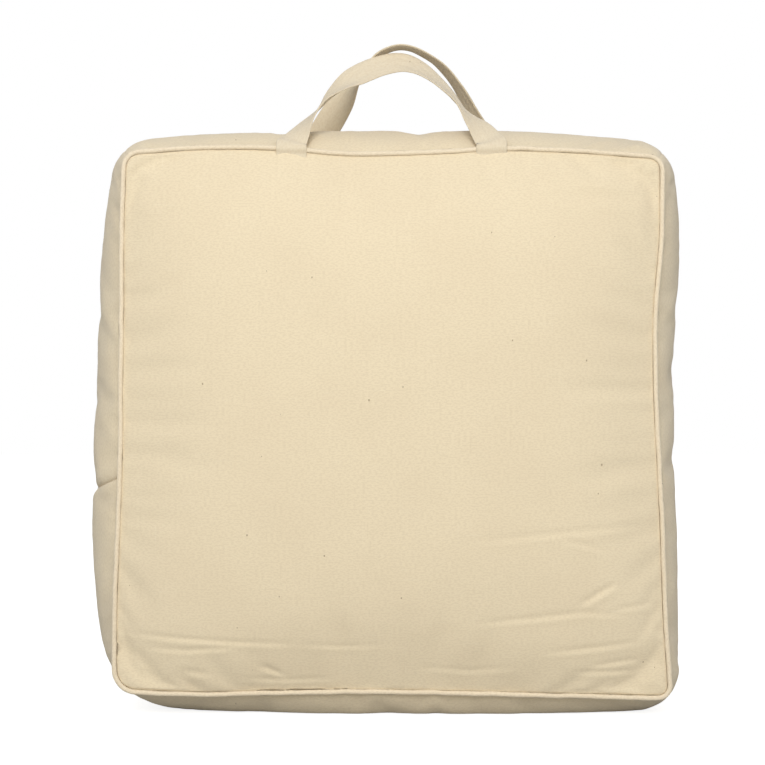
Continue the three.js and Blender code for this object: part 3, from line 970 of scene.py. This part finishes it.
def zipBoxing(name, side, node):
    # half of the bottom boxing, opened at the zip, with its edge folded back beside the tape
    bm = bmesh.new()
    bm.from_mesh(cover)
    layer = bm.verts.layers.float_vector["cut"]
    ofBottom = [ofBoxing(s) and s.z < -0.9999 and s.y * side > 0 for s in faceSpots(bm, layer)]
    unwanted = [f for f, wanted in zip(bm.faces, ofBottom) if not wanted]
    bmesh.ops.delete(bm, geom=unwanted, context="FACES")
    reach = zipStrip["lipReach"]
    lips = []
    for vert in bm.verts:
        depth = abs(vert.co.y)
        if abs(vert[layer][1]) < 1e-5:
            lips.append(vert)
            depth = 0
        if depth < reach:
            shut = min(max((abs(vert.co.x) - zipStrip["zipEnds"]) / (12 * mm), 0), 1)
            gap = zipStrip["lipHalfGap"] + (zipStrip["closedHalfGap"] - zipStrip["lipHalfGap"]) * shut
            share = depth / reach
            vert.co.y = side * (gap + (reach - gap) * share)
            lift = (1 - share) ** 2 * zipStrip["lipLift"]
            vert.co.z += lift
    lipSet = set(lips)
    rim = [e for e in bm.edges if e.is_boundary]
    mouth = [e for e in rim if e.verts[0] in lipSet and e.verts[1] in lipSet]
    seams = [e for e in rim if e not in set(mouth)]
    for vert in bmesh.ops.extrude_edge_only(bm, edges=seams)["geom"]:
        if isinstance(vert, bmesh.types.BMVert):
            vert.co = turnStrip(vert.co)
    foldUp, foldBack = zipStrip["foldUp"], zipStrip["foldBack"]
    for up, back in ((0.6 * foldUp, 0.0), (0.4 * foldUp, 0.2 * foldBack), (0.0, foldBack)):
        made = bmesh.ops.extrude_edge_only(bm, edges=mouth)["geom"]
        mouth = [g for g in made if isinstance(g, bmesh.types.BMEdge)]
        for vert in made:
            if isinstance(vert, bmesh.types.BMVert):
                vert.co += Vector((0, side * back, up))
    bmesh.ops.recalc_face_normals(bm, faces=bm.faces)
    if sum(f.normal.z * f.calc_area() for f in bm.faces) > 0:
        bmesh.ops.reverse_faces(bm, faces=bm.faces)
    mesh = meshFrom(bm, name)
    points = readPoints(mesh)
    clothMap(mesh, points[:, 0], points[:, 1])
    piece = newPiece(name, mesh, calico)
    declare(piece, node)


zipBoxing("zip_boxing_front_cloth", -1, "zip_boxing_front")
zipBoxing("zip_boxing_back_cloth", 1, "zip_boxing_back")
print("zip strips cut")


# Piping
def sweep(name, spine, section, steps, sides, closed, material):
    # a tube whose section runs along a spine, with its own map in metres
    bm = bmesh.new()
    layer = bm.loops.layers.uv.new("cloth")
    bmesh.ops.create_grid(bm, x_segments=steps, y_segments=sides, size=1, calc_uvs=True)
    spots = np.array([v.co for v in bm.verts])
    t = (spots[:, 0] + 1) / 2
    turn = (spots[:, 1] + 1) / 2
    centre, across, up, length, girth = spine(t)
    a, b = section(t, turn)
    places = centre + a[:, None] * across + b[:, None] * up
    for vert, place in zip(bm.verts, places):
        vert.co = place
    for face in bm.faces:
        for loop in face.loops:
            loop[layer].uv = (loop[layer].uv[0] * length, loop[layer].uv[1] * girth)
    bmesh.ops.remove_doubles(bm, verts=bm.verts, dist=2e-6)
    if not closed:
        bmesh.ops.holes_fill(bm, edges=[e for e in bm.edges if e.is_boundary])
    bmesh.ops.recalc_face_normals(bm, faces=bm.faces)
    mesh = meshFrom(bm, name)
    return newPiece(name, mesh, material)


piping = {
    "rings": 820,
    "sides": 14,
    "cordSides": 9,
    "beadRadius": 2.75 * mm,
    "cordRadius": 1.9 * mm,
    "out": 2.7 * mm,
    "unevenness": 0.035,
}


def seamLoop(shape, count=2400):
    # points round a seam with their outward directions, evenly spaced
    t = np.linspace(0, 4, count, endpoint=False)
    k, f = np.floor(t).astype(int), (t % 1) * 2 - 1
    u = np.choose(k, [f, np.ones(count), -f, -np.ones(count)])
    v = np.choose(k, [-np.ones(count), f, np.ones(count), -f])
    x, z = outlineAt(shape, u, v)
    ahead = np.stack([np.roll(x, -3) - np.roll(x, 3), np.roll(z, -3) - np.roll(z, 3)], 1)
    ahead /= np.linalg.norm(ahead, axis=1, keepdims=True)
    return x, z, ahead[:, 1], -ahead[:, 0]


def pipingSpine(shape, y, wobble):
    x, z, outX, outZ = seamLoop(shape)
    cx, cz = x + outX * piping["out"], z + outZ * piping["out"]
    run = np.r_[0, np.cumsum(np.hypot(np.diff(np.r_[cx, cx[0]]), np.diff(np.r_[cz, cz[0]])))]
    length = run[-1]

    def spine(t):
        at = (t % 1) * length

        def pick(values):
            return np.interp(at, run, np.r_[values, values[0]])

        across = np.stack([pick(outX), np.zeros(len(t)), pick(outZ)], 1)
        across /= np.linalg.norm(across, axis=1, keepdims=True)
        drift = wobble * (ripple(at, 23 * mm, 21) + 0.5 * ripple(at, 9 * mm, 22))
        centre = np.stack([pick(cx), np.full(len(t), y), pick(cz)], 1) + across * (drift * mm)[:, None]
        up = np.tile([0.0, 1.0, 0.0], (len(t), 1))
        return centre, across, up, length, 2 * math.pi * piping["beadRadius"]

    return spine, length


def makePiping(which, shape, side):
    spine, length = pipingSpine(shape, side * cushion["halfDepth"], 0.35)

    def coverSection(t, turn):
        at = (t % 1) * length
        slant = at + turn * 14 * mm
        fold = piping["unevenness"] * (ripple(slant, 4.5 * mm, 31) + 0.8 * ripple(slant, 12 * mm, 32))
        radius = piping["beadRadius"] * (1 + fold * np.sin(np.pi * (t % 1)).clip(0, 0.1) * 10)
        return radius * np.cos(turn * 2 * math.pi), radius * np.sin(turn * 2 * math.pi)

    def cordSection(t, turn):
        at = (t % 1) * length
        radius = piping["cordRadius"] * (1 + 0.05 * np.sin(turn * 6 * math.pi + at / (2.4 * mm)))
        return radius * np.cos(turn * 2 * math.pi), radius * np.sin(turn * 2 * math.pi)

    rings, sides = piping["rings"], piping["sides"]
    bead = sweep(f"{which}_piping_cloth", spine, coverSection, rings, sides, True, binding)
    declare(bead, f"{which}_piping_cover")
    core = sweep(f"{which}_piping_core", spine, cordSection, rings, piping["cordSides"], True, cordCotton)
    declare(core, f"{which}_piping_cord")


makePiping("front", frontSeam, -1)
makePiping("back", backSeam, 1)
print("piping sewn in")

# Strap handles
# What both straps share. The wrap takes each foot over the piping: out and up, in millimetres.
bothStraps = {
    "thickness": 1.8 * mm,
    "steps": 150,
    "sides": 32,
    "hingeOut": 77 * mm,
    "hingeHeight": 630 * mm,
    "bendsFrom": 0.6365,
    "bendsTo": 0.652,
    "wrap": ((0.6, -9.0), (0.8, -2.4), (2.1, -0.2), (3.8, 2.5), (2.7, 5.9), (-0.9, 10.2)),
    "pleatPeriod": 3.4 * mm,
    "pleats": 0.9 * mm,
    "dents": 0.35 * mm,
    "waves": 0.6 * mm,
    "narrowing": 0.08,
}
# Each station of a loop: across and up the handle's own plane in millimetres, twist in degrees, cupping
# in millimetres.
frontStrap = {
    "body": "front_handle",
    "side": -1,
    "lean": 31.4,
    "width": 34.5 * mm,
    "feet": (-109, 113),
    "loop": [
        (-106, 18, 16, 0.3),
        (-96, 40, 44, 1.0),
        (-79, 65, 64, 1.5),
        (-61, 88, 40, 1.5),
        (-40, 109, 14, 1.0),
        (-16, 123, 8, 0.5),
        (10, 130, 8, 0.5),
        (30, 124, 20, 1.0),
        (48, 109, 36, 1.5),
        (66, 88, 50, 1.5),
        (82, 65, 58, 1.5),
        (98, 41, 30, 1.0),
        (109, 20, 8, 0.3),
    ],
    "lastTwist": 0.0,
}
backStrap = {
    "body": "back_handle",
    "side": 1,
    "lean": 27.8,
    "width": 34 * mm,
    "feet": (-97, 119),
    "loop": [
        (-94, 20, 4, 0.3),
        (-78, 46, 10, 0.5),
        (-56, 82, 34, 1.0),
        (-36, 115, 84, 1.0),
        (-14, 139, 112, 0.5),
        (12, 149, 118, 0.3),
        (36, 143, 117, 0.3),
        (57, 129, 116, 0.5),
        (79, 103, 118, 0.8),
        (95, 75, 124, 0.8),
        (109, 46, 138, 0.8),
        (118, 21, 172, 0.3),
    ],
    "lastTwist": 180.0,
}


def throughPoints(points, t):
    # a smooth curve through the points, evenly run from 0 to 1, with extra columns carried along
    points = np.array(points, float)
    padded = np.vstack([2 * points[0] - points[1], points, 2 * points[-1] - points[-2]])
    fine = np.linspace(0, len(points) - 1 - 1e-6, 1600)
    k = fine.astype(int)
    f = (fine - k)[:, None]
    a, b, c, d = (padded[k + n] for n in range(4))
    smooth = b + 0.5 * f * (c - a + f * (2 * a - 5 * b + 4 * c - d + f * (3 * (b - c) + d - a)))
    run = np.r_[0, np.cumsum(np.linalg.norm(np.diff(smooth[:, :3], axis=0), axis=1))]
    at = t * run[-1]
    return np.stack([np.interp(at, run, smooth[:, n]) for n in range(points.shape[1])], 1), run[-1]


def makeStrap(name, strap, seam, nodes):
    side = strap["side"]
    lean = math.radians(strap["lean"])
    hingeY, hingeZ = side * bothStraps["hingeOut"], bothStraps["hingeHeight"]

    def onPlane(x, up):
        return x * mm, hingeY - side * up * mm * math.sin(lean), hingeZ + up * mm * math.cos(lean)

    def footOf(x, twist):
        # out of the ditch, over the piping and back
        share = np.array([x * mm / cushion["halfWidth"]])
        seamTop = outlineAt(seam, share, np.array([1.0]))[1][0]
        plane = cushion["halfDepth"] * side
        wrap = bothStraps["wrap"]
        return [(x * mm, plane + side * out * mm, seamTop + up * mm, twist, 0.0) for out, up in wrap]

    stations = footOf(strap["feet"][0], 0.0)
    stations += [(*onPlane(x, up), twist, cup) for x, up, twist, cup in strap["loop"]]
    stations += footOf(strap["feet"][1], strap["lastTwist"])[::-1]
    facing = np.array([0.0, -math.cos(lean), -side * math.sin(lean)])

    def spine(t):
        rows, length = throughPoints(stations, t)
        ahead = throughPoints(stations, np.clip(t + 0.004, 0, 1))[0][:, :3]
        behind = throughPoints(stations, np.clip(t - 0.004, 0, 1))[0][:, :3]
        along = ahead - behind
        along /= np.linalg.norm(along, axis=1, keepdims=True)
        flat = np.cross(along, facing)
        flat /= np.linalg.norm(flat, axis=1, keepdims=True)
        normal = np.cross(flat, along)
        angle = np.radians(rows[:, 3])[:, None]
        across = flat * np.cos(angle) + normal * np.sin(angle)
        up = np.cross(along, across)
        return rows[:, :3], across, up, length, strap["width"] * 2

    def section(t, turn):
        rows, length = throughPoints(stations, t)
        half, thick = strap["width"] / 2, bothStraps["thickness"] / 2
        a = half * np.cos(turn * 2 * math.pi)
        edge = ((np.abs(a) - (half - thick)) / thick).clip(0, 1)
        b = thick * np.sqrt(1 - edge**2) * np.sign(np.sin(turn * 2 * math.pi))
        at = t * length
        free = np.clip(np.minimum(t, 1 - t) / 0.16, 0, 1)
        shift = rows[:, 4] * mm * (1 - (a / half) ** 2)
        pleat = np.abs(np.sin(a / bothStraps["pleatPeriod"] + 0.9 * ripple(at, 60 * mm, 41))) - 0.5
        shift += free * bothStraps["pleats"] * pleat * (0.7 + 0.5 * ripple(at, 24 * mm, 40))
        shift += free * bothStraps["dents"] * patchwork(at * 0.5, a, 8 * mm, 42 + side)
        shift += free * bothStraps["waves"] * ripple(at + a * 0.5, 21 * mm, 44 + side)
        pinch = 1 - bothStraps["narrowing"] * free * (0.5 + 0.5 * ripple(at, 40 * mm, 47 + side))
        return a * pinch, b + shift

    steps, sides = bothStraps["steps"], bothStraps["sides"]
    piece = sweep(name, spine, section, steps, sides, False, strapCloth)
    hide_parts(*nodes)
    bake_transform(piece)
    print(name, "is", round(spine(np.array([0.0]))[3] / mm), "mm long")


for which, strap, seam in (("front", frontStrap, frontSeam), ("back", backStrap, backSeam)):
    ends = [f"{which}_handle_tail_left", f"{which}_handle_tail_right"]
    makeStrap(f"{which}_handle_strap", strap, seam, [f"{which}_handle", *ends])
print("straps sewn in")

# Zip
zipLook = {
    "pitch": 1.25 * mm,
    "wire": 0.3 * mm,
    "stepsPerTurn": 10,
    "wireSides": 6,
    "bevel": 0.22 * mm,
}


def makeCoil(name, node, side, phase):
    low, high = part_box(node)
    height = (low.z + high.z) / 2
    length = high.x - low.x
    turns = int(length / zipLook["pitch"])
    middle = 1.45 * mm * side

    def wireAt(t):
        turn = (t * turns + phase) * 2 * math.pi
        deep = middle + 1.35 * mm * np.cos(turn)
        tall = height + 0.72 * mm * np.sin(turn)
        return np.stack([low.x + length * t, deep, tall], 1)

    def spine(t):
        centre = wireAt(t)
        along = wireAt(t + 0.02 / turns) - wireAt(t - 0.02 / turns)
        along /= np.linalg.norm(along, axis=1, keepdims=True)
        across = np.cross(along, [1.0, 0.0, 0.0])
        across /= np.linalg.norm(across, axis=1, keepdims=True)
        return centre, across, np.cross(along, across), length, 2 * math.pi * zipLook["wire"]

    def section(t, turn):
        return zipLook["wire"] * np.cos(turn * 2 * math.pi), zipLook["wire"] * np.sin(turn * 2 * math.pi)

    coil = sweep(name, spine, section, turns * zipLook["stepsPerTurn"], zipLook["wireSides"], False, nylon)
    declare(coil, node)


def softened(name, node, body):
    # the same small metal part with its edges rounded
    bm = bmesh.new()
    bm.from_mesh(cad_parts[node].data)
    bmesh.ops.remove_doubles(bm, verts=bm.verts, dist=1e-6)
    bmesh.ops.dissolve_limit(bm, angle_limit=math.radians(2), verts=bm.verts, edges=bm.edges)
    sharp = [e for e in bm.edges if len(e.link_faces) == 2 and e.calc_face_angle(0) > math.radians(25)]
    bmesh.ops.bevel(
        bm,
        geom=sharp,
        offset=zipLook["bevel"],
        offset_type="OFFSET",
        segments=2,
        profile=0.5,
        affect="EDGES",
        clamp_overlap=True,
        material=-1,
    )
    bmesh.ops.triangulate(bm, faces=[f for f in bm.faces if len(f.verts) > 4])
    mesh = meshFrom(bm, name)
    piece = newPiece(name, mesh, nickel)
    declare(piece, node, body)


makeCoil("zip_coil_front_wire", "zip_coil_front", -1, 0.0)
makeCoil("zip_coil_back_wire", "zip_coil_back", 1, 0.5)
softened("zip_slider_body", "zip_slider", "zip_slider")
softened("zip_pull_tab", "zip_pull", "zip_pull")
softened("zip_stop_front_end", "zip_top_stop_front", "cushion")
softened("zip_stop_back_end", "zip_top_stop_back", "cushion")
softened("zip_stop_start", "zip_bottom_stop", "cushion")
print("zip made")

# Finishes of the parts kept as they are
kept = {
    "fibre_filling": fibreLook,
    "zip_tape_front": tapeWeave,
    "zip_tape_back": tapeWeave,
}
for node, material in kept.items():
    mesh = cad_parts[node].data
    mesh.materials.clear()
    mesh.materials.append(material)
print("kept parts finished")
